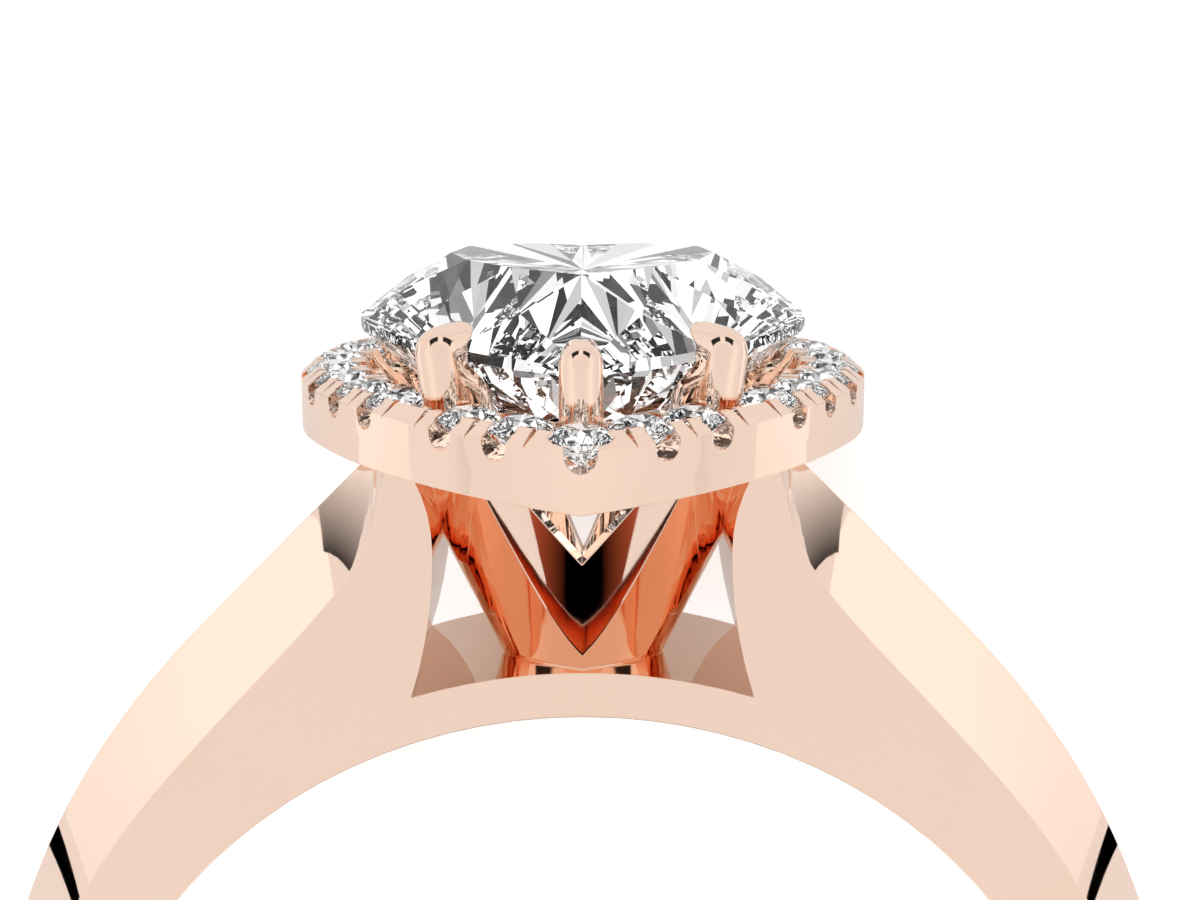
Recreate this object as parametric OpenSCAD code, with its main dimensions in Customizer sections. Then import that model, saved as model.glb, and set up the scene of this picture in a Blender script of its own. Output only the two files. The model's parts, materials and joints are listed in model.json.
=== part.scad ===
// Halo ring: a heart-shaped centre stone in five claws, a halo of round stones and a knife-edge shank.
// It lies on its back, as it rests on a table. The origin is the centre of the finger bore.

/* [Shank] */
// Radius of the finger bore
bore_r = 8.25; // [7.5:0.05:10.5]
// Width of the shank along the finger
shank_w = 3.7; // [3:0.05:4.4]
// Wall of the bridge under the head
bridge_t = 0.71; // [0.5:0.01:0.9]
// Height of the knife edge over the bore, away from the head
ridge_t = 2.0; // [1.6:0.05:2.6]
// Height of the flat sides over the bore, away from the head
side_t = 1.2; // [0.9:0.05:1.4]

/* [Head] */
// Height of the halo's underside over the bore
head_rise = 4.02; // [3.6:0.02:4.8]
// Place of the halo's front tip, in front of the middle of the shank
tip_reach = 4.5; // [4.2:0.05:4.8]
// Half width of the window between the shoulders, at its narrowest
window_x = 2.27; // [2:0.01:2.5]
// Depth of the window's narrowest place under the halo
window_drop = 1.37; // [1:0.01:1.6]
// Radius of the window's sides
window_r = 7.5; // [6:0.5:10]
// Radius of the window's corners under the halo
corner_r = 2.5; // [2:0.1:3.5]

/* [Centre stone] */
// Width of the heart-shaped stone
stone_w = 7.38; // [7:0.02:8]
// Height of the girdle's lower edge over the halo's underside
girdle_rise = 1.62; // [1.5:0.02:1.9]
// Thickness of the girdle
girdle_t = 0.18; // [0.16:0.01:0.26]
// Height of the crown
crown_h = 1.05; // [0.8:0.05:1.2]
// Depth of the pavilion
pavilion_h = 2.8; // [2.4:0.05:2.9]
// Width of the table, as a share of the stone's width
table_share = 0.58; // [0.5:0.01:0.64]

/* [Halo] */
// Distance from the centre stone's edge to the line of halo stones
halo_set = 0.43; // [0.4:0.01:0.5]
// Height of the halo band
band_h = 1.03; // [0.98:0.01:1.12]
// Width of the slope along the band's outer top edge
rim_in = 0.25; // [0.18:0.01:0.3]
// Height of the slope along the band's top edges
rim_drop = 0.19; // [0.12:0.01:0.22]
// Width of the halo band
band_w = 1.14; // [1.1:0.01:1.3]
// Diameter of a halo stone
small_d = 0.94; // [0.84:0.01:0.96]
// Extra room beside each claw between two halo stones
claw_room = 0.8; // [0.7:0.02:0.95]
// Width of the notch beside each halo stone
notch_w = 0.46; // [0.36:0.02:0.54]
// Depth of the notch beside each halo stone
notch_d = 0.47; // [0.4:0.01:0.54]
// Clearance between a stone and the metal
set_gap = 0.02; // [0.01:0.005:0.04]

/* [Claws and basket] */
// Width of a side claw
claw_w = 0.76; // [0.56:0.02:0.78]
// Width of the claw at the tip
tip_claw_w = 0.62; // [0.5:0.02:0.7]
// Depth of a claw behind its round front
claw_depth = 0.34; // [0.1:0.02:0.44]
// Height of a claw over the girdle's upper edge
claw_over = 0.28; // [0.2:0.02:0.4]
// Outward lean of the claws, in degrees
claw_lean = 8; // [5:0.5:10]
// Wall of the basket
basket_t = 0.42; // [0.36:0.02:0.5]
// Half width of the basket's foot
foot_x = 0.95; // [0.85:0.05:1.1]
// Height of the front opening's corner over the bore
front_v = 2.7; // [2.5:0.05:3.2]
// Height of the back opening's corner over the bore
back_v = 1.8; // [1.7:0.05:2.2]

/* [Hidden] */
fine = 96;
tiny = 0.01;
over = 1;
deg = 180 / PI;

// Heights in the standing ring, with +Z from the bore to the stone and +Y to the back
band_z0 = bore_r + head_rise;
band_z1 = band_z0 + band_h;
girdle_z0 = band_z0 + girdle_rise;
girdle_z1 = girdle_z0 + girdle_t;
table_z = girdle_z1 + crown_h;
culet_z = girdle_z0 - pavilion_h;
half_w = shank_w / 2;
half_band = band_w / 2;

// The heart is three arcs a side: flank, side and lobe. Angles are those of the arcs' normals, and the
// radii of the stone's own edge are shares of its width.
tip_a = -56;
side_a = -24.2;
lobe_a = 15;
flank_share = 1.3686;
side_share = 0.5691;
lobe_share = 0.2805;
flank_r = flank_share * stone_w + halo_set;
side_r = side_share * stone_w + halo_set;
lobe_r = lobe_share * stone_w + halo_set;
function dir(a) = [cos(a), sin(a)];
flank_c = [-flank_r * cos(tip_a), -tip_reach - flank_r * sin(tip_a)];
side_c = flank_c + (flank_r - side_r) * dir(side_a);
lobe_c = side_c + (side_r - lobe_r) * dir(lobe_a);
wide_y = side_c[1];
wide_x = side_c[0] + side_r;
back_y = lobe_c[1] + lobe_r;

// Normal angles at which an arc that is offset by n meets the middle plane, at the tip and at the cleft
function tip_at(n) = -acos(-flank_c[0] / (flank_r + n));
function cleft_at(n) = acos(-lobe_c[0] / (lobe_r + n));
function on_arc(c, r, a) = c + r * dir(a);
cleft = [0, lobe_c[1] + lobe_r * sin(cleft_at(0))];
// Edge of the centre stone: its offset, cleft angle and cleft point
edge_n = -halo_set;
edge_cleft_a = cleft_at(edge_n);
edge_cleft = [0, lobe_c[1] + (lobe_r + edge_n) * sin(edge_cleft_a)];

// Point and normal at a distance s from the tip, along the line of halo stones, offset outwards by n
flank_s = flank_r * (side_a - tip_a) / deg;
side_s = side_r * (lobe_a - side_a) / deg;
lobe_s = lobe_r * (cleft_at(0) - lobe_a) / deg;
half_s = flank_s + side_s + lobe_s;
function path_a(s) =
    s < flank_s ? tip_a + s / flank_r * deg :
    s < flank_s + side_s ? side_a + (s - flank_s) / side_r * deg :
    lobe_a + (s - flank_s - side_s) / lobe_r * deg;
function path(s, n = 0) =
    s < flank_s ? on_arc(flank_c, flank_r + n, path_a(s)) :
    s < flank_s + side_s ? on_arc(side_c, side_r + n, path_a(s)) :
    on_arc(lobe_c, lobe_r + n, path_a(s));

// Halo stones: one at the tip, one at the cleft and eleven a side, with room for a claw after two of them
side_count = 11;
claw_after = [2, 9];
pitch = (half_s - len(claw_after) * claw_room) / (side_count + 1);
function past(k) = (k > claw_after[0] ? 1 : 0) + (k > claw_after[1] ? 1 : 0);
function stone_s(k) = k * pitch + past(k) * claw_room;
function claw_s(k) = stone_s(k) + (pitch + claw_room) / 2;

// Shoulders: share of the arc from the head to the plain shank, share of the knife edge's rise to the
// head and share of the flat sides' rise to the head
plain_a = 76;
shoulder_over = 0.43;
shoulder_share = 0.655;
shoulder_x = shoulder_share * wide_x;
head_a = atan(shoulder_x / (band_z0 + shoulder_over));
top_r = (band_z0 + shoulder_over) / cos(head_a);
ridge_r = bore_r + ridge_t;
edge_r = bore_r + side_t;
arc_share = 0;
ridge_share = 1;
edge_share = 2;
shoulder_rows = [
    [-0.05, 1.1, 1.16], [0, 1, 1], [0.031, 0.897, 0.823], [0.062, 0.805, 0.62], [0.094, 0.721, 0.5],
    [0.141, 0.611, 0.382], [0.219, 0.463, 0.26], [0.312, 0.339, 0.164], [0.406, 0.255, 0.099],
    [0.516, 0.177, 0.055], [0.656, 0.1, 0.022], [0.812, 0.036, 0.005], [1, 0, 0]];
steps = 4;

// Value of a column at row i and part t of the way to the next row, on a smooth curve through the rows
function slope(rows, col, i) =
    i <= 0 ? (rows[1][col] - rows[0][col]) / (rows[1][0] - rows[0][0]) :
    i >= len(rows) - 1 ? 0 :
    (rows[i + 1][col] - rows[i - 1][col]) / (rows[i + 1][0] - rows[i - 1][0]);
function smooth_at(rows, col, i, t) = let (
    d = rows[i + 1][0] - rows[i][0],
    a = rows[i][col],
    b = rows[i + 1][col],
    u = slope(rows, col, i) * d,
    v = slope(rows, col, i + 1) * d)
    a + u * t + (3 * (b - a) - 2 * u - v) * t * t + (2 * (a - b) + u + v) * t * t * t;

// Loft of rings of points, each ring seen turning left from the far end
function ring_faces(n, rings) = [
    for (k = [0:rings - 2], i = [0:n - 1]) each [
        [k * n + i, k * n + (i + 1) % n, (k + 1) * n + (i + 1) % n],
        [k * n + i, (k + 1) * n + (i + 1) % n, (k + 1) * n + i]],
    [for (i = [n - 1:-1:0]) i],
    [for (i = [0:n - 1]) (rings - 1) * n + i]];
module solid(points, faces) {
    polyhedron(points, [for (f = faces) [for (i = [len(f) - 1:-1:0]) f[i]]], convexity = 6);
}
module loft(rings) {
    solid([for (r = rings) each r], ring_faces(len(rings[0]), len(rings)));
}

// Lays the standing ring on its back: it rests on the shank's edge and the halo's two lobes
tilt = atan((back_y + half_band - half_w) / (band_z0 + edge_r));
module lying() { rotate([tilt - 90, 0, 0]) children(); }
module both_sides() {
    children();
    mirror([1, 0, 0]) children();
}

// Shank. A shoulder ends in a tongue inside the plain shank.
root_in = 0.2;
root_r = bore_r - root_in;
tongue_a = 2;
tongue_in = 0.15;
function section(ridge, edge, inset = 0) = let (w = half_w - inset)
    [[w, root_r + inset], [w, edge - inset], [0, ridge - inset], [-w, edge - inset], [-w, root_r + inset]];
function house(a, ridge, edge, inset = 0) =
    [for (p = section(ridge, edge, inset)) [p[1] * sin(a), p[0], p[1] * cos(a)]];
module plain_shank() {
    rotate([90, 0, 0])
        rotate([0, 0, plain_a - 270])
            rotate_extrude(angle = 2 * (180 - plain_a), $fn = fine)
                polygon([for (p = section(ridge_r, edge_r)) [p[1], -p[0]]]);
}
module shoulder_blank() {
    last = len(shoulder_rows) - 2;
    turn = plain_a - head_a;
    loft([
        for (i = [0:last], j = [0:(i == last ? steps : steps - 1)])
            let (t = j / steps)
            house(head_a + turn * smooth_at(shoulder_rows, arc_share, i, t),
                ridge_r + (top_r - ridge_r) * smooth_at(shoulder_rows, ridge_share, i, t),
                edge_r + (top_r - edge_r) * smooth_at(shoulder_rows, edge_share, i, t)),
        house(plain_a + tongue_a, ridge_r, edge_r, tongue_in)]);
}
bridge_r = bore_r + bridge_t;
waist_z = band_z0 - window_drop;
seat_sink = 0.06;
module along(r, x, z) {
    translate([x, 0, z]) rotate([90, 0, 0]) cylinder(r = r, h = 2 * shank_w, center = true, $fn = fine);
}
module window_side() {
    low_z = bore_r / 2;
    reach_x = shoulder_x + over;
    difference() {
        translate([-tiny, -shank_w, low_z]) cube([reach_x, 2 * shank_w, waist_z - low_z]);
        along(bridge_r, 0, 0);
        along(window_r, window_x + window_r, waist_z);
    }
    difference() {
        translate([-tiny, -shank_w, waist_z - tiny]) cube([reach_x, 2 * shank_w, head_rise]);
        along(corner_r, window_x + corner_r, waist_z);
    }
}
module shoulder() {
    difference() {
        shoulder_blank();
        window_side();
        translate([-ridge_r, -shank_w, band_z0 + seat_sink]) cube([2 * ridge_r, 2 * shank_w, head_rise]);
    }
}
module bridge() {
    bridge_a = 22;
    rotate([90, 0, 0])
        rotate([0, 0, 90 - bridge_a])
            rotate_extrude(angle = 2 * bridge_a, $fn = fine)
                translate([root_r, -half_w]) square([bridge_r - root_r, shank_w]);
}

// Outline of the heart offset by n, as short straight sides. Outside the stone's edge it meets the middle
// plane in a sharp corner, and inside it the cleft turns round the stone's own cleft.
flank_sides = 12;
side_sides = 10;
lobe_sides = 20;
cleft_sides = 6;
function turned(c, r, a0, a1, sides) = [for (i = [0:sides - 1]) on_arc(c, r, a0 + (a1 - a0) * i / sides)];
function outline(n) = let (end_a = n < edge_n ? edge_cleft_a : cleft_at(n)) concat(
    turned(flank_c, flank_r + n, tip_at(n), side_a, flank_sides),
    turned(side_c, side_r + n, side_a, lobe_a, side_sides),
    turned(lobe_c, lobe_r + n, lobe_a, end_a, lobe_sides),
    n < edge_n ? turned(edge_cleft, edge_n - n, edge_cleft_a - 180, -90, cleft_sides) : [],
    [n < edge_n ? edge_cleft - [0, edge_n - n] : on_arc(lobe_c, lobe_r + n, end_a)]);
function mirrored(half) = concat(half, [for (i = [len(half) - 2:-1:1]) [-half[i][0], half[i][1]]]);
function ring(n, z) = [for (p = mirrored(outline(n))) [p[0], p[1], z]];
module prism(n, z0, z1) {
    translate([0, 0, z0]) linear_extrude(z1 - z0) polygon(mirrored(outline(n)));
}

// Halo band: a heart-shaped wall with sloped top edges, a channel that bares the stones' middles and a
// funnel down to the basket
rim_z = band_z1 - rim_drop;
channel_w = 0.42;
channel_d = 0.2;
funnel_in = 0.74;
floor_n = -(half_band + funnel_in);
inner_share = 0.7;
inner_n = -half_band + inner_share * (half_band - halo_set);
module funnel() {
    loft([
        ring(floor_n, band_z0 - tiny), ring(-half_band, rim_z), ring(inner_n, band_z1),
        ring(inner_n, band_z1 + over)]);
}
module channel() {
    difference() {
        prism(channel_w / 2, band_z1 - channel_d, band_z1 + over);
        prism(-channel_w / 2, band_z1 - channel_d - tiny, band_z1 + over + tiny);
    }
}
module band() {
    difference() {
        loft([ring(half_band, band_z0), ring(half_band, rim_z), ring(half_band - rim_in, band_z1)]);
        funnel();
        channel();
    }
}

// Places a child at halo stone i, with +X outwards. Stones are counted from the tip, right side first.
module at_path(s, n = 0) {
    p = path(s, n);
    translate([p[0], p[1], 0]) rotate([0, 0, path_a(s)]) children();
}
module at_stone(i) {
    if (i == 0) translate([0, -tip_reach, 0]) rotate([0, 0, -90]) children();
    else if (i == side_count + 1) translate([cleft[0], cleft[1], 0]) rotate([0, 0, 90]) children();
    else if (i <= side_count) at_path(stone_s(i)) children();
    else mirror([1, 0, 0]) at_path(stone_s(2 * (side_count + 1) - i)) children();
}
small_r = small_d / 2;
small_crown = 0.15 * small_d;
small_girdle = 0.03 * small_d;
small_pavilion = 0.42 * small_d;
small_table_share = 0.56;
small_rise = 0.04;
small_table_z = band_z1 + small_rise;
small_girdle_z = small_table_z - small_crown - small_girdle;
module stone_seat() {
    seat_r = small_r + set_gap;
    table_r = small_table_share * small_r + 1.5 * set_gap;
    low = small_girdle_z - small_pavilion - 2 * set_gap;
    top = small_table_z + set_gap;
    rotate_extrude($fn = fine / 2)
        polygon([
            [0, low], [seat_r, small_girdle_z - set_gap], [seat_r, small_girdle_z + small_girdle + set_gap],
            [table_r, top], [0, top]]);
}
notch_over = 0.43;
module stone_notch() {
    r = notch_w / 2;
    length = band_w + 2 * notch_over;
    translate([-length / 2, 0, band_z1 - notch_d + r]) {
        rotate([0, 90, 0]) cylinder(r = r, h = length, $fn = fine / 2);
        translate([0, -r, 0]) cube([length, notch_w, over]);
    }
}
groove_w = 0.22;
groove_over = 0.04;
module bar_groove() {
    reach = half_band + groove_over;
    translate([0, 0, rim_z - groove_over])
        linear_extrude(over) polygon([[-reach, 0], [0, -groove_w / 2], [reach, 0], [0, groove_w / 2]]);
}
groove_places = concat(
    [for (k = [0:side_count]) stone_s(k) + pitch / 2],
    [for (k = claw_after) stone_s(k + 1) - pitch / 2]);

// Basket: the heart's outline, narrowed to a foot on the bridge
basket_in = 0.21;
basket_n = -(half_band + basket_in);
foot_sink = 0.05;
foot_z = bore_r + foot_sink;
foot_front = 0.62;
foot_back = 1.35;
foot_y = -0.72;
tip_stretch = 1 / sin(-tip_a);
function mix(a, b, t) = a + (b - a) * t;
top_x = wide_x + basket_n;
top_front = wide_y + tip_reach + basket_n * tip_stretch;
top_back = back_y + basket_n - wide_y;
function cup_ring(t, inset) = let (
    z = mix(foot_z, band_z0, t),
    sx = (mix(foot_x, top_x, t) - inset) / (top_x - inset),
    sf = (mix(foot_front, top_front, t) - inset * tip_stretch) / (top_front - inset * tip_stretch),
    sb = (mix(foot_back, top_back, t) - inset) / (top_back - inset),
    y = mix(foot_y, wide_y, t))
    [for (p = mirrored(outline(basket_n - inset)))
        [p[0] * sx, y + (p[1] - wide_y) * (p[1] < wide_y ? sf : sb), z]];
cup_steps = 6;
module cup(t0, t1, inset) {
    loft([for (i = [0:cup_steps]) cup_ring(mix(t0, t1, i / cup_steps), inset)]);
}
module basket_body() { cup(0, 1 + seat_sink / head_rise, 0); }
module basket_hollow() {
    floor_t = 0.3;
    past_top = 1.04;
    cup(floor_t, past_top, basket_t);
}
front_half_a = 43;
back_half_a = 29;
module v_opening(z, half_a, y0, y1) {
    h = band_z0 - z;
    translate([0, y1, 0])
        rotate([90, 0, 0])
            linear_extrude(y1 - y0)
                polygon([[0, z], [h * tan(half_a), band_z0], [-h * tan(half_a), band_z0]]);
}

// Claws: round-fronted posts with a round top, standing between the halo stones, leaning
// out from the band's rim and cut to the stone's edge
claw_face_n = 0.04;
claw_root = 0.25;
module claw(w) {
    r = w / 2;
    top = girdle_z1 + claw_over;
    base = band_z0 + claw_root;
    translate([claw_face_n, 0, rim_z]) rotate([0, claw_lean, 0]) translate([-r, 0, -rim_z]) {
        translate([0, 0, base]) cylinder(r = r, h = top - r - base, $fn = fine / 2);
        translate([0, 0, top - r]) sphere(r = r, $fn = fine / 2);
        translate([-claw_depth, 0, base]) cylinder(r = r, h = top - r - base, $fn = fine / 2);
        translate([-claw_depth, 0, top - r]) sphere(r = r, $fn = fine / 2);
        translate([-claw_depth, -r, base]) cube([claw_depth, w, top - r - base]);
        translate([-claw_depth, 0, top - r]) rotate([0, 90, 0]) cylinder(r = r, h = claw_depth, $fn = fine / 2);
    }
}
claw_gap = 0.06;
tip_claw_y = -tip_reach + small_r + set_gap + claw_gap;
module claws() {
    difference() {
        union() {
            both_sides() for (k = claw_after) at_path(claw_s(k)) claw(claw_w);
            translate([0, tip_claw_y + claw_face_n, 0]) rotate([0, 0, -90]) claw(tip_claw_w);
        }
        stone_space();
    }
}

// Room for the centre stone among the claws: its own outline, drawn in or out from its middle by a share
girdle_wave = 0.08;
crown_room = 0.1;
function stone_ring(share, z) = [for (p = mirrored(heart_half))
    let (q = heart_mid + share * (p - heart_mid)) [q[0], q[1], z]];
module stone_space() {
    grown = 1 + 2.5 * set_gap / stone_w;
    loft([
        stone_ring(tiny, culet_z - crown_room),
        stone_ring(grown, girdle_z0 - set_gap),
        stone_ring(grown, girdle_z1 + girdle_wave),
        stone_ring(table_share + crown_room, table_z + set_gap)]);
}

module mounting() {
    color("#e8bfa2") lying() difference() {
        union() {
            difference() {
                union() {
                    plain_shank();
                    bridge();
                    both_sides() shoulder();
                    basket_body();
                    band();
                }
                basket_hollow();
                v_opening(bore_r + front_v, front_half_a, -tip_reach, 0);
                v_opening(bore_r + back_v, back_half_a, 0, back_y);
                for (i = [0:2 * side_count + 1]) at_stone(i) {
                    stone_seat();
                    stone_notch();
                }
                both_sides() for (s = groove_places) at_path(s) bar_groove();
            }
            claws();
        }
        rotate([90, 0, 0]) cylinder(r = bore_r, h = 3 * shank_w, center = true, $fn = 2 * fine);
    }
}

// Stones. A facet plane holds a girdle point, a second point and the girdle's direction there.
function facet(g, q, along_x, along_y) = cross([along_x, along_y, 0], q - g);
// Share of the way out from mid to rim at which height z lies on the plane with normal n through g
function reach(n, g, mid, rim, z) =
    (n * g - n[2] * z - n[0] * mid[0] - n[1] * mid[1]) / (n[0] * (rim[0] - mid[0]) + n[1] * (rim[1] - mid[1]));
function plane_z(a, b, c, p) = let (n = cross(b - a, c - a)) a[2] - (n[0] * (p[0] - a[0]) + n[1] * (p[1] - a[1])) / n[2];

// A brilliant: mains is the number of main facets, sub the points in each half facet, edge(j) a point of
// the outline, mid the point under the table, and the shares place the star and lower facets.
module brilliant(edge, mains, sub, mid, table, z0, z1, zt, zc, star, lower) {
    per = 2 * sub;
    n = mains * per;
    function g(j) = edge[(j + n) % n];
    function at(p, z) = [p[0], p[1], z];
    function tangent(i) = g(i * per + 1) - g(i * per - 1);
    function corner(i) = at(mid + table * (g(i * per) - mid), zt);
    function crown_n(i) = facet(at(g(i * per), z1), corner(i), tangent(i)[0], tangent(i)[1]);
    function low_n(i) = facet(at(g(i * per), z0), at(mid, zc), tangent(i)[0], tangent(i)[1]);
    function rim(i) = g(i * per + sub);
    function between(n1, n2, i, z, level) = let (
        k = (reach(n1, at(g(i * per), z), mid, rim(i), level)
            + reach(n2, at(g((i + 1) * per), z), mid, rim(i), level)) / 2)
        at(mid + k * (rim(i) - mid), level);
    function star_p(i) = between(crown_n(i), crown_n(i + 1), i, z1, mix(z1, zt, star));
    function low_p(i) = between(low_n(i), low_n(i + 1), i, z0, mix(zc, z0, lower));
    function half_z(j, p, z) = let (
        h = floor(j / sub),
        a = at(g(h * sub), z),
        b = at(g((h + 1) * sub), z))
        j % sub == 0 ? z : plane_z(a, b, p, g(j));
    tops = [for (j = [0:n - 1]) at(g(j), half_z(j, star_p(floor(j / per)), z1))];
    bottoms = [for (j = [0:n - 1]) at(g(j), half_z(j, low_p(floor(j / per)), z0))];
    t0 = 2 * n;
    s0 = t0 + mains;
    p0 = s0 + mains;
    culet = p0 + mains;
    points = concat(bottoms, tops, [for (i = [0:mains - 1]) corner(i)], [for (i = [0:mains - 1]) star_p(i)],
        [for (i = [0:mains - 1]) low_p(i)], [at(mid, zc)]);
    faces = [
        [for (i = [0:mains - 1]) t0 + i],
        for (i = [0:mains - 1]) let (k = (i + 1) % mains, b = (i + mains - 1) % mains) each [
            [t0 + i, s0 + i, t0 + k],
            [t0 + i, s0 + b, n + i * per],
            [t0 + i, n + i * per, s0 + i],
            [culet, p0 + i, i * per],
            [culet, i * per, p0 + b]],
        for (j = [0:n - 1]) let (i = floor(j / per), m = (j + 1) % n) each [
            [s0 + i, n + j, n + m],
            [p0 + i, m, j],
            [j, m, n + m],
            [j, n + m, n + j]]];
    solid(points, faces);
}

// Heart outline by share of its half length, in main facets of unequal length
main_shares = [0, 0.2, 0.38, 0.54, 0.69, 0.85, 1];
half_mains = len(main_shares) - 1;
heart_sub = 3;
edge_tip_a = tip_at(edge_n);
edge_1 = (flank_r + edge_n) * (side_a - edge_tip_a);
edge_2 = (side_r + edge_n) * (lobe_a - side_a);
edge_3 = (lobe_r + edge_n) * (edge_cleft_a - lobe_a);
function heart_edge(u) = let (s = u * (edge_1 + edge_2 + edge_3))
    s <= edge_1 ? on_arc(flank_c, flank_r + edge_n, edge_tip_a + s / (flank_r + edge_n)) :
    s <= edge_1 + edge_2 ? on_arc(side_c, side_r + edge_n, side_a + (s - edge_1) / (side_r + edge_n)) :
    on_arc(lobe_c, lobe_r + edge_n, lobe_a + (s - edge_1 - edge_2) / (lobe_r + edge_n));
half_points = half_mains * 2 * heart_sub;
function share_at(j) = let (i = min(floor(j / (2 * heart_sub)), half_mains - 1))
    mix(main_shares[i], main_shares[i + 1], j / (2 * heart_sub) - i);
heart_half = [for (j = [0:half_points]) j == half_points ? edge_cleft : heart_edge(share_at(j))];
mid_share = 0.205;
heart_mid = [0, wide_y - mid_share * stone_w];
star_share = 0.52;
lower_share = 0.24;
module centre_stone() {
    color("white") lying()
        brilliant(mirrored(heart_half), 2 * half_mains, heart_sub, heart_mid, table_share,
            girdle_z0, girdle_z1, table_z, culet_z, star_share, lower_share);
}
small_mains = 8;
round_edge = [for (j = [0:2 * small_mains - 1]) small_r * dir(j * 180 / small_mains)];
module halo_stone(i) {
    color("whitesmoke") lying() at_stone(i)
        brilliant(round_edge, small_mains, 1, [0, 0], small_table_share, small_girdle_z,
            small_girdle_z + small_girdle, small_table_z, small_girdle_z - small_pavilion, star_share, lower_share);
}

mounting();
centre_stone();
for (i = [0:2 * side_count + 1]) halo_stone(i);
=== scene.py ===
import json
import math

import bpy
from mathutils import Matrix, Vector


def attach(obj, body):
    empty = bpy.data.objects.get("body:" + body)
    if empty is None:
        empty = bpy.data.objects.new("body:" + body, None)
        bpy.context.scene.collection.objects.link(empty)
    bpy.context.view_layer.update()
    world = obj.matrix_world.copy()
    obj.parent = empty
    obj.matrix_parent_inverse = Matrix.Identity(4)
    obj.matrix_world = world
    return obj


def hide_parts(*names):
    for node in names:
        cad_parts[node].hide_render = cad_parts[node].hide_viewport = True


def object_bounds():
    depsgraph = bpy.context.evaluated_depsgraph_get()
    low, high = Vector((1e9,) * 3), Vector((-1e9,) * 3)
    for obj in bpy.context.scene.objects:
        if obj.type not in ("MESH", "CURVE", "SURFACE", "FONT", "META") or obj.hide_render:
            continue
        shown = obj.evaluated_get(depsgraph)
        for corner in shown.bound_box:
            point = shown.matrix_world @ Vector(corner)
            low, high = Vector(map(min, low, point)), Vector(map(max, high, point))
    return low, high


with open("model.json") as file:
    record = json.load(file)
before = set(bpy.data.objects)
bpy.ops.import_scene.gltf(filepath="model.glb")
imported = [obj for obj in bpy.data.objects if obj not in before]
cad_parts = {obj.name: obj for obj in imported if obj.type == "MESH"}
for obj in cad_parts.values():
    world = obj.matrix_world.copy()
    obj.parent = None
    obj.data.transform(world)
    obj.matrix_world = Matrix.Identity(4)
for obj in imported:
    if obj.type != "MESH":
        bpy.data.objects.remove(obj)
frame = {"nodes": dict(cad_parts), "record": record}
cadLow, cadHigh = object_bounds()
nodes = frame["nodes"]
mm = 0.001
print("frame loaded,", len(nodes), "nodes")

# the ring lies on its back: its own backward and upward directions come from the finger bore's axis
boreAxis = Vector(frame["record"]["mounts"][0]["axis"]).normalized()
ringBack = -boreAxis
ringUp = Vector((1, 0, 0)).cross(ringBack)


def inRow(x, y, z):  # a point or direction of the standing ring, turned as it lies
    return Vector((x, 0, 0)) + ringBack * y + ringUp * z


def deselectAll():
    if bpy.context.object and bpy.context.object.mode != "OBJECT":
        bpy.ops.object.mode_set(mode="OBJECT")
    bpy.ops.object.select_all(action="DESELECT")


def makeActive(obj):
    deselectAll()
    obj.select_set(True)
    bpy.context.view_layer.objects.active = obj


# node helpers

def newMaterial(name):
    material = bpy.data.materials.new(name)
    material.use_nodes = True
    tree = material.node_tree
    tree.nodes.clear()
    output = tree.nodes.new("ShaderNodeOutputMaterial")
    output.location = (900, 0)
    shader = tree.nodes.new("ShaderNodeBsdfPrincipled")
    shader.location = (600, 0)
    tree.links.new(shader.outputs["BSDF"], output.inputs["Surface"])
    return material, tree, shader


def addNode(tree, kind, place, settings=None, values=None):
    node = tree.nodes.new(kind)
    node.location = place
    for key, value in (settings or {}).items():
        setattr(node, key, value)
    for key, value in (values or {}).items():
        node.inputs[key].default_value = value
    return node


def addMath(tree, operation, place, a, b=None, clamp=False):
    node = addNode(tree, "ShaderNodeMath", place, {"operation": operation, "use_clamp": clamp})
    for socket, value in zip(node.inputs, (a, b)):
        if value is None:
            continue
        if isinstance(value, (int, float)):
            socket.default_value = value
        else:
            tree.links.new(value, socket)
    return node.outputs[0]


def addRange(tree, place, value, fromMin, fromMax, toMin, toMax, smooth=True):
    kind = "SMOOTHSTEP" if smooth else "LINEAR"
    node = addNode(tree, "ShaderNodeMapRange", place, {"interpolation_type": kind}, {
        "From Min": fromMin, "From Max": fromMax, "To Min": toMin, "To Max": toMax})
    tree.links.new(value, node.inputs["Value"])
    return node.outputs["Result"]


def newGroup(name, inputs, outputs):
    tree = bpy.data.node_groups.new(name, "ShaderNodeTree")
    for label, kind, value in inputs:
        socket = tree.interface.new_socket(name=label, in_out="INPUT", socket_type=kind)
        socket.default_value = value
    for label, kind in outputs:
        tree.interface.new_socket(name=label, in_out="OUTPUT", socket_type=kind)
    start = addNode(tree, "NodeGroupInput", (-900, 0))
    end = addNode(tree, "NodeGroupOutput", (600, 0))
    return tree, start, end


# surface effects that the metal and the stones share

wearSettings = {"fineTimes": 7.0, "cloudDetail": 6.0, "fineDetail": 4.0, "from": 0.42, "to": 0.68}


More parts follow.
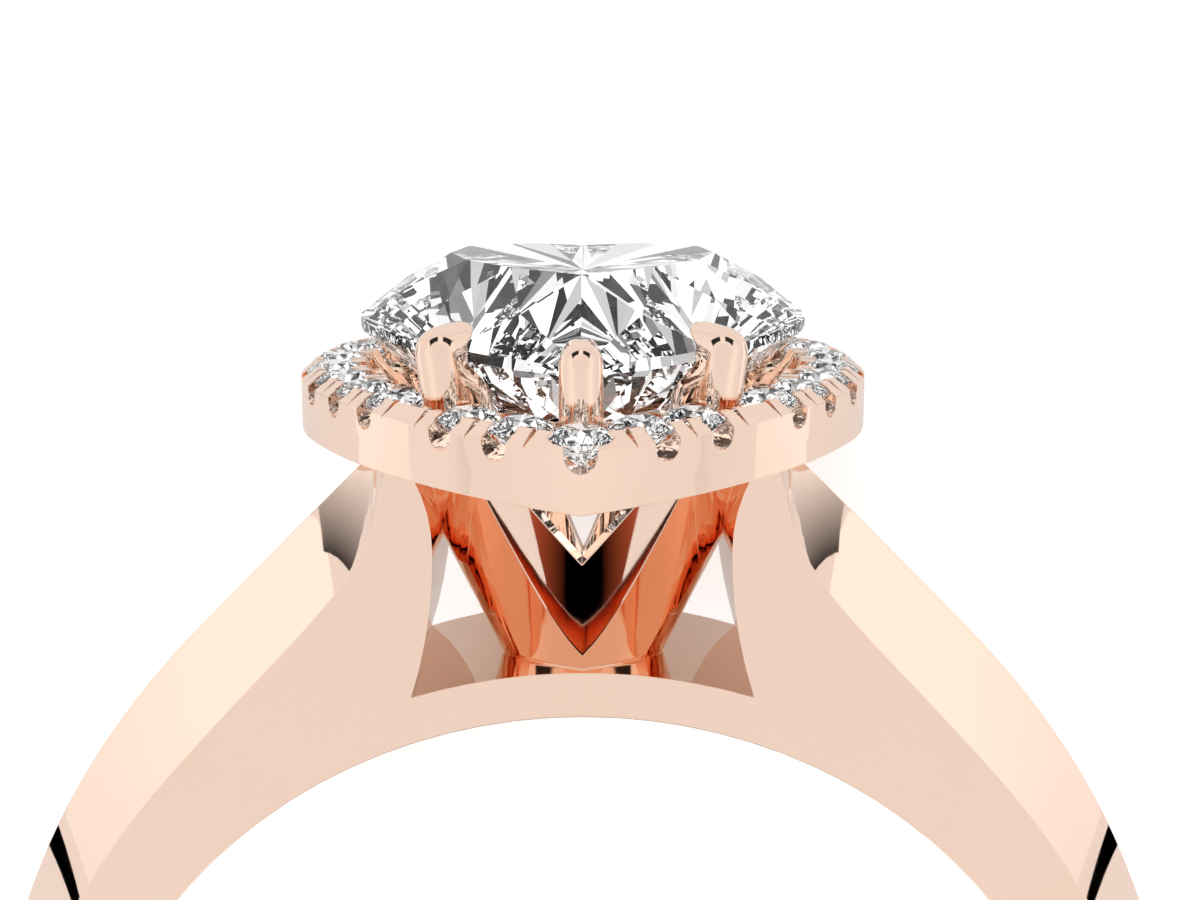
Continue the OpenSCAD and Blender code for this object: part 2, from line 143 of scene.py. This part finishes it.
def makeFineWear(values):
    tree, start, end = newGroup("fineWear", [
        ("Scale", "NodeSocketFloat", 900.0),
        ("Smooth", "NodeSocketFloat", 0.02),
        ("Worn", "NodeSocketFloat", 0.08),
    ], [("Roughness", "NodeSocketFloat"), ("Mask", "NodeSocketFloat"), ("Height", "NodeSocketFloat")])
    place = addNode(tree, "ShaderNodeTexCoord", (-900, 300))
    cloud = addNode(tree, "ShaderNodeTexNoise", (-600, 300), None, {
        "Detail": values["cloudDetail"], "Roughness": 0.6})
    tree.links.new(place.outputs["Object"], cloud.inputs["Vector"])
    tree.links.new(start.outputs["Scale"], cloud.inputs["Scale"])
    fineScale = addMath(tree, "MULTIPLY", (-750, -100), start.outputs["Scale"], values["fineTimes"])
    fine = addNode(tree, "ShaderNodeTexNoise", (-600, -100), None, {
        "Detail": values["fineDetail"], "Roughness": 0.7})
    tree.links.new(place.outputs["Object"], fine.inputs["Vector"])
    tree.links.new(fineScale, fine.inputs["Scale"])
    mask = addRange(tree, (-350, 300), cloud.outputs["Fac"], values["from"], values["to"], 0.0, 1.0)
    spread = addMath(tree, "SUBTRACT", (-350, 100), start.outputs["Worn"], start.outputs["Smooth"])
    worn = addMath(tree, "MULTIPLY", (-150, 200), mask, spread)
    rough = addMath(tree, "ADD", (50, 200), worn, start.outputs["Smooth"])
    tree.links.new(rough, end.inputs["Roughness"])
    tree.links.new(mask, end.inputs["Mask"])
    tree.links.new(fine.outputs["Fac"], end.inputs["Height"])
    return tree


fineWear = makeFineWear(wearSettings)
print("shared effects made")

# rose gold

goldSettings = {
    "base": (0.94, 0.705, 0.572),
    "warm": (0.935, 0.695, 0.56),
    "scale": 420.0,
    "smooth": 0.02,
    "worn": 0.04,
    "bump": 0.02,
    "bumpDepth": 0.002 * mm,
    "edge": 0.03 * mm,  # fine roundness of every edge, in the shading only
    "edgeSamples": 6,
}


def makeRoseGold(values):
    material, tree, shader = newMaterial("roseGoldPolish")
    wear = addNode(tree, "ShaderNodeGroup", (-300, 0), {"node_tree": fineWear}, {
        "Scale": values["scale"], "Smooth": values["smooth"], "Worn": values["worn"]})
    tint = addNode(tree, "ShaderNodeMix", (0, 200), {"data_type": "RGBA"})
    tint.inputs["A"].default_value = (*values["base"], 1)
    tint.inputs["B"].default_value = (*values["warm"], 1)
    tree.links.new(wear.outputs["Mask"], tint.inputs["Factor"])
    edge = addNode(tree, "ShaderNodeBevel", (0, -300), {"samples": values["edgeSamples"]}, {
        "Radius": values["edge"]})
    bump = addNode(tree, "ShaderNodeBump", (200, -200), None, {
        "Strength": values["bump"], "Distance": values["bumpDepth"]})
    tree.links.new(edge.outputs["Normal"], bump.inputs["Normal"])
    tree.links.new(wear.outputs["Height"], bump.inputs["Height"])
    tree.links.new(tint.outputs["Result"], shader.inputs["Base Color"])
    tree.links.new(wear.outputs["Roughness"], shader.inputs["Roughness"])
    tree.links.new(bump.outputs["Normal"], shader.inputs["Normal"])
    shader.inputs["Metallic"].default_value = 1.0
    return material


roseGold = makeRoseGold(goldSettings)

# stones

stoneSettings = {
    "centre_stone": {
        "base": (1.0, 1.0, 1.0), "grey": (0.965, 0.97, 0.98), "scale": 260.0, "worn": 0.004,
        "sheen": (0.15, 0.15, 0.15),
    },
    "halo_stone": {
        "base": (1.0, 1.0, 1.0), "grey": (0.96, 0.965, 0.975), "scale": 900.0, "worn": 0.006,
        "sheen": (0.4, 0.4, 0.4),
    },
}
diamondIndex = 2.417


def makeStoneMaterial(name, values):
    material, tree, shader = newMaterial(name + "Diamond")
    wear = addNode(tree, "ShaderNodeGroup", (-300, 0), {"node_tree": fineWear}, {
        "Scale": values["scale"], "Smooth": 0.0, "Worn": values["worn"]})
    tint = addNode(tree, "ShaderNodeMix", (0, 200), {"data_type": "RGBA"})
    tint.inputs["A"].default_value = (*values["base"], 1)
    tint.inputs["B"].default_value = (*values["grey"], 1)
    tree.links.new(wear.outputs["Mask"], tint.inputs["Factor"])
    tree.links.new(tint.outputs["Result"], shader.inputs["Base Color"])
    tree.links.new(wear.outputs["Roughness"], shader.inputs["Roughness"])
    shader.inputs["Transmission Weight"].default_value = 1.0
    shader.inputs["IOR"].default_value = diamondIndex
    shader.inputs["Specular Tint"].default_value = (*values["sheen"], 1)  # less of the metal in it
    return material


def dressStones():
    for kind, values in stoneSettings.items():
        material = makeStoneMaterial(kind.replace("_s", "S"), values)
        for name, node in nodes.items():
            if name.startswith(kind):
                node.data.materials.clear()
                node.data.materials.append(material)


dressStones()
print("stones dressed")

# mounting: the soldered solid with its true curves shaded smooth

mountingSettings = {
    "name": "mountingPolished",
    "mergeDistance": 0.001 * mm,
    "smoothAngle": 28.0,
    "normalWeight": 80,
    "cup": {  # the basket, by heights over the bore's centre, half widths and how far its faces look down
        "low": 8.98 * mm, "high": 12.26 * mm, "foot": 0.95 * mm, "top": 3.4 * mm, "turn": 0.42,
        "down": (0.25, 0.85),
    },
}


def isCupFront(face, values):
    share = (face.center.dot(ringUp) - values["low"]) / (values["high"] - values["low"])
    wide = values["foot"] + (values["top"] - values["foot"]) * share
    if not 0 < share < 1 or abs(face.center.x) >= wide or face.center.dot(ringBack) >= 0:
        return False
    least, most = values["down"]
    return least < -face.normal.dot(ringUp) < most and face.normal.dot(ringBack) < 0


def roundCup(mesh, values):  # the basket's front is shaded as a round cone, without its narrow strips
    normals = [corner.vector.copy() for corner in mesh.corner_normals]
    rise, spread = values["high"] - values["low"], values["top"] - values["foot"]
    slant = math.atan2(spread, rise)
    for face in mesh.polygons:
        if not isCupFront(face, values):
            continue
        for corner in face.loop_indices:
            place = mesh.vertices[mesh.loops[corner].vertex_index].co
            level = max(0, min(1, (place.dot(ringUp) - values["low"]) / rise))
            radius = values["foot"] + spread * level
            across = values["turn"] * max(-1, min(1, place.x / radius))
            flat = Vector((across, 0, 0)) - ringBack * math.sqrt(1 - across * across)
            normals[corner] = (flat * math.cos(slant) - ringUp * math.sin(slant)).normalized()
    mesh.normals_split_custom_set(normals)


def makeMounting(values):
    mesh = nodes["mounting"].data.copy()
    mesh.materials.clear()
    piece = bpy.data.objects.new(values["name"], mesh)
    bpy.context.scene.collection.objects.link(piece)
    makeActive(piece)
    bpy.ops.mesh.customdata_custom_splitnormals_clear()
    bpy.ops.object.mode_set(mode="EDIT")
    bpy.ops.mesh.select_all(action="SELECT")
    bpy.ops.mesh.remove_doubles(threshold=values["mergeDistance"])
    bpy.ops.mesh.dissolve_degenerate(threshold=values["mergeDistance"])
    bpy.ops.object.mode_set(mode="OBJECT")
    for name in ("sharp_edge", "sharp_face"):  # tags of the loose triangles
        if name in mesh.attributes:
            mesh.attributes.remove(mesh.attributes[name])
    bpy.ops.object.shade_smooth_by_angle(angle=math.radians(values["smoothAngle"]), keep_sharp_edges=False)
    weighted = piece.modifiers.new("weighted", "WEIGHTED_NORMAL")
    weighted.keep_sharp = True
    weighted.weight = values["normalWeight"]
    bpy.ops.object.modifier_apply(modifier=weighted.name)
    roundCup(mesh, values["cup"])
    mesh.materials.append(roseGold)
    piece.visible_transmission = False  # the stones stay free of the metal's colour
    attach(piece, "root")
    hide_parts("mounting")
    return piece


mounting = makeMounting(mountingSettings)
print("mounting made,", len(mounting.data.polygons), "faces")

# floor

floorSettings = {
    "size": 3.0, "colour": (0.93, 0.93, 0.93), "roughness": (0.65, 0.7), "grain": 900.0, "drop": 0.002 * mm,
    "glow": 0.4,  # for the camera only, so that the paper stays white behind the ring
}


def makeFloor(values):
    deselectAll()
    bpy.ops.mesh.primitive_plane_add(size=values["size"], location=(0, 0, cadLow.z - values["drop"]))
    floor = bpy.context.object
    floor.name = "paperFloor"
    bpy.ops.object.transform_apply(location=True, rotation=True, scale=True)
    material, tree, shader = newMaterial("paleReflectionGlow")
    grain = addNode(tree, "ShaderNodeTexNoise", (-300, 0), None, {"Scale": values["grain"], "Detail": 5.0})
    place = addNode(tree, "ShaderNodeTexCoord", (-500, 0))
    tree.links.new(place.outputs["Object"], grain.inputs["Vector"])
    rough = addRange(tree, (0, -200), grain.outputs["Fac"], 0.3, 0.7, *values["roughness"])
    tree.links.new(rough, shader.inputs["Roughness"])
    shader.inputs["Base Color"].default_value = (*values["colour"], 1)
    shader.inputs["Specular IOR Level"].default_value = 0.2
    shader.inputs["Emission Color"].default_value = (1, 1, 1, 1)
    path = addNode(tree, "ShaderNodeLightPath", (0, -500))
    glow = addMath(tree, "MULTIPLY", (250, -400), path.outputs["Is Camera Ray"], values["glow"])
    tree.links.new(glow, shader.inputs["Emission Strength"])
    floor.data.materials.append(material)
    floor.visible_transmission = False


makeFloor(floorSettings)
print("floor made")

# glowing cards that lie on the floor out of the picture and show only as reflections in the metal: painted
# reflections, pale, dark and orange-red

cardSettings = [  # corners on the floor in mm, levels at both ends of a fade and the fade's ends in mm
    {
        # painted highlight for the slopes: a white glow that fades from 1.2 to 1.04
        "name": "slopeCard", "rise": 0.05 * mm, "colour": (1, 1, 1), "levels": (1.2, 1.04),
        "fade": ((18, 15), (18, 6)),
        "corners": [(15.2, 5.9), (34, 4.0), (34, 20.0), (15.5, 20.0)],
    },
    {
        # painted reflection for the shoulders: dark at one end of the fade, white at the other
        "name": "shoulderCard", "rise": 0.1 * mm, "colour": (1, 1, 1), "levels": (0.03, 1.05),
        "fade": ((13.9, 14.5), (11.35, 17.15)),
        "corners": [(15.8, 16.4), (12.0, 12.7), (8.4, 12.7), (8.4, 15.0), (11.9, 19.0), (13.3, 19.0)],
    },
    {
        # painted dark reflection for the shank: a black card
        "name": "shankCard", "rise": 0.1 * mm, "colour": (1, 1, 1), "levels": (0.0, 0.0),
        "fade": ((0, 0), (1, 0)),
        "corners": [(14.3, 5.6), (14.3, 4.9), (18.0, 4.4), (18.0, 4.9)],
    },
    {
        # painted reflection for the basket: dark near the middle, an orange-red glow further to the side
        "name": "basketCard", "rise": 0.1 * mm, "colour": (1, 0.22, 0.1), "levels": (0.0, 0.5),
        "fade": ((3, -60), (10, -60)),
        "corners": [(0, -12), (0, -300), (60, -300), (2.4, -12)],
    },
]


def makeCardMaterial(values, side):
    material, tree, shader = newMaterial(values["name"] + "ReflectionGlow")
    start, end = (Vector((side * x * mm, y * mm, 0)) for x, y in values["fade"])
    place = addNode(tree, "ShaderNodeTexCoord", (-900, 0))
    away = addNode(tree, "ShaderNodeVectorMath", (-700, 0), {"operation": "SUBTRACT"})
    tree.links.new(place.outputs["Object"], away.inputs[0])
    away.inputs[1].default_value = start
    along = addNode(tree, "ShaderNodeVectorMath", (-500, 0), {"operation": "DOT_PRODUCT"})
    tree.links.new(away.outputs["Vector"], along.inputs[0])
    along.inputs[1].default_value = (end - start) / (end - start).length_squared
    level = addRange(tree, (-300, 0), along.outputs["Value"], 0.0, 1.0, *values["levels"], smooth=False)
    tone = addNode(tree, "ShaderNodeCombineColor", (0, 0))
    for socket, share in zip(("Red", "Green", "Blue"), values["colour"]):
        tree.links.new(addMath(tree, "MULTIPLY", (-150, -200), level, share), tone.inputs[socket])
    # the glow is the painted reflection; the card's own colour is black
    tree.links.new(tone.outputs["Color"], shader.inputs["Emission Color"])
    shader.inputs["Emission Strength"].default_value = 1.0
    shader.inputs["Base Color"].default_value = (0, 0, 0, 1)
    shader.inputs["Specular IOR Level"].default_value = 0.0
    return material


def makeCard(values, side):
    corners = [(side * x * mm, y * mm, cadLow.z + values["rise"]) for x, y in values["corners"]]
    mesh = bpy.data.meshes.new(values["name"])
    mesh.from_pydata(corners, [], [tuple(range(len(corners)))])
    mesh.materials.append(makeCardMaterial(values, side))
    card = bpy.data.objects.new(values["name"], mesh)
    bpy.context.scene.collection.objects.link(card)
    for kind in ("camera", "diffuse", "transmission", "shadow", "volume_scatter"):
        setattr(card, "visible_" + kind, False)


for card in cardSettings:
    for side in (-1, 1):
        makeCard(card, side)
print("cards made")

# soft studio light: a pale surround with dark flags at both sides above the head and one low beyond it,
# panels of light and shade for the inside of the stones, and a large soft box

studioSettings = {
    "surround": [(0.0, 0.92), (0.25, 0.95), (0.55, 1.08), (0.82, 0.92), (1.0, 0.9)],
    "flags": [
        {
            "inner": 0.14, "outer": 0.66, "low": 0.26, "high": 0.62, "headward": 1, "shade": 0.97,
            "soft": 0.03,
        },
        {
            "inner": -1, "outer": 0.06, "low": -0.4, "high": 0.2, "headward": -1, "shade": 1.0,
            "soft": 0.16,
        },
    ],
    "panels": [(0.0, 0.01), (0.3, 0.25), (0.42, 0.6), (0.56, 0.95), (0.66, 1.3)],
    "panelScale": 2.6,
    "boxes": [{"name": "frontSoftbox", "place": (-70, -200, 130), "size": 160, "power": 0.1}],
}


def addSteps(tree, place, stops, smooth):
    ramp = addNode(tree, "ShaderNodeValToRGB", place)
    ramp.color_ramp.interpolation = "LINEAR" if smooth else "CONSTANT"
    marks = ramp.color_ramp.elements
    top = max(level for _, level in stops)  # a ramp ends at 1, so its levels are shares of the highest
    for position, _ in stops[1:-1]:
        marks.new(position)
    for mark, (position, level) in zip(marks, stops):
        mark.position = position
        mark.color = (level / top,) * 3 + (1,)
    levels = addMath(tree, "MULTIPLY", (place[0] + 300, place[1]), ramp.outputs["Color"], top)
    return ramp.inputs["Fac"], levels


def makeSurround(values):
    world = bpy.data.worlds.new("studioSurround")
    bpy.context.scene.world = world
    world.use_nodes = True
    tree = world.node_tree
    tree.nodes.clear()
    place = addNode(tree, "ShaderNodeTexCoord", (-1400, 0))
    parts = addNode(tree, "ShaderNodeSeparateXYZ", (-1200, 0))
    tree.links.new(place.outputs["Generated"], parts.inputs["Vector"])
    height = parts.outputs["Z"]
    rising, pale = addSteps(tree, (-600, 200), values["surround"], True)
    tree.links.new(height, rising)
    side = addMath(tree, "ABSOLUTE", (-1000, -100), parts.outputs["X"])
    lit = pale
    for row, flag in enumerate(values["flags"]):
        below, soft = -1000 * row - 100, flag["soft"]
        head = addMath(tree, "MULTIPLY", (-1000, below - 800), parts.outputs["Y"], flag["headward"])
        masks = [
            addRange(tree, (-800, below), side, flag["inner"], flag["inner"] + soft, 0.0, 1.0),
            addRange(tree, (-800, below - 200), side, flag["outer"], flag["outer"] + soft, 1.0, 0.0),
            addRange(tree, (-800, below - 400), height, flag["low"], flag["low"] + soft, 0.0, 1.0),
            addRange(tree, (-800, below - 600), height, flag["high"], flag["high"] + soft, 1.0, 0.0),
            addRange(tree, (-800, below - 800), head, 0.0, 0.02, 0.0, flag["shade"]),
        ]
        dark = masks[0]
        for i, mask in enumerate(masks[1:]):
            dark = addMath(tree, "MULTIPLY", (-500 + 150 * i, below), dark, mask)
        free = addMath(tree, "SUBTRACT", (150, below), 1.0, dark)
        lit = addMath(tree, "MULTIPLY", (300, below), lit, free)
    cells = addNode(tree, "ShaderNodeTexVoronoi", (-1200, 500), None, {"Scale": values["panelScale"]})
    tree.links.new(place.outputs["Generated"], cells.inputs["Vector"])
    tone = addNode(tree, "ShaderNodeSeparateColor", (-900, 500))
    tree.links.new(cells.outputs["Color"], tone.inputs["Color"])
    cell, panels = addSteps(tree, (-600, 500), values["panels"], False)
    tree.links.new(tone.outputs["Red"], cell)
    path = addNode(tree, "ShaderNodeLightPath", (200, 500))
    level = addNode(tree, "ShaderNodeMix", (500, 200), {"data_type": "FLOAT"})
    tree.links.new(path.outputs["Is Transmission Ray"], level.inputs["Factor"])
    tree.links.new(lit, level.inputs["A"])
    tree.links.new(panels, level.inputs["B"])
    background = addNode(tree, "ShaderNodeBackground", (700, 0), None, {"Color": (1, 1, 1, 1)})
    output = addNode(tree, "ShaderNodeOutputWorld", (900, 0))
    tree.links.new(level.outputs["Result"], background.inputs["Strength"])
    tree.links.new(background.outputs["Background"], output.inputs["Surface"])


def makeBox(values):
    light = bpy.data.lights.new(values["name"], "AREA")
    light.shape = "SQUARE"
    light.size = values["size"] * mm
    light.energy = values["power"]
    holder = bpy.data.objects.new(values["name"], light)
    bpy.context.scene.collection.objects.link(holder)
    holder.location = inRow(*values["place"]) * mm
    holder.rotation_euler = (-holder.location).to_track_quat("-Z", "Y").to_euler()
    holder.visible_glossy = False


makeSurround(studioSettings)
for box in studioSettings["boxes"]:
    makeBox(box)
print("studio made")

# camera at the photograph's angle, in the standing ring's own directions

cameraSettings = {"place": (0.168, -28.09, 18.03), "down": 11.985, "turn": 0.218, "lens": 53.86}


def makeCamera(values):
    down, turn = math.radians(values["down"]), math.radians(values["turn"])
    ahead = inRow(math.sin(turn) * math.cos(down), math.cos(turn) * math.cos(down), -math.sin(down))
    right = inRow(math.cos(turn), -math.sin(turn), 0)
    above = right.cross(ahead)
    data = bpy.data.cameras.new("photoCamera")
    data.lens = values["lens"]
    data.sensor_width = 36
    data.clip_start = mm
    data.clip_end = 10
    camera = bpy.data.objects.new("photoCamera", data)
    bpy.context.scene.collection.objects.link(camera)
    turned = Matrix((right, above, -ahead)).transposed().to_4x4()
    camera.matrix_world = Matrix.Translation(inRow(*values["place"]) * mm) @ turned
    bpy.context.scene.camera = camera


makeCamera(cameraSettings)
scene = bpy.context.scene
scene.view_settings.view_transform = "Standard"
scene.cycles.max_bounces = 32
scene.cycles.transmission_bounces = 32
scene.cycles.glossy_bounces = 12
scene.cycles.caustics_refractive = True
scene.cycles.caustics_reflective = True
print("camera set")
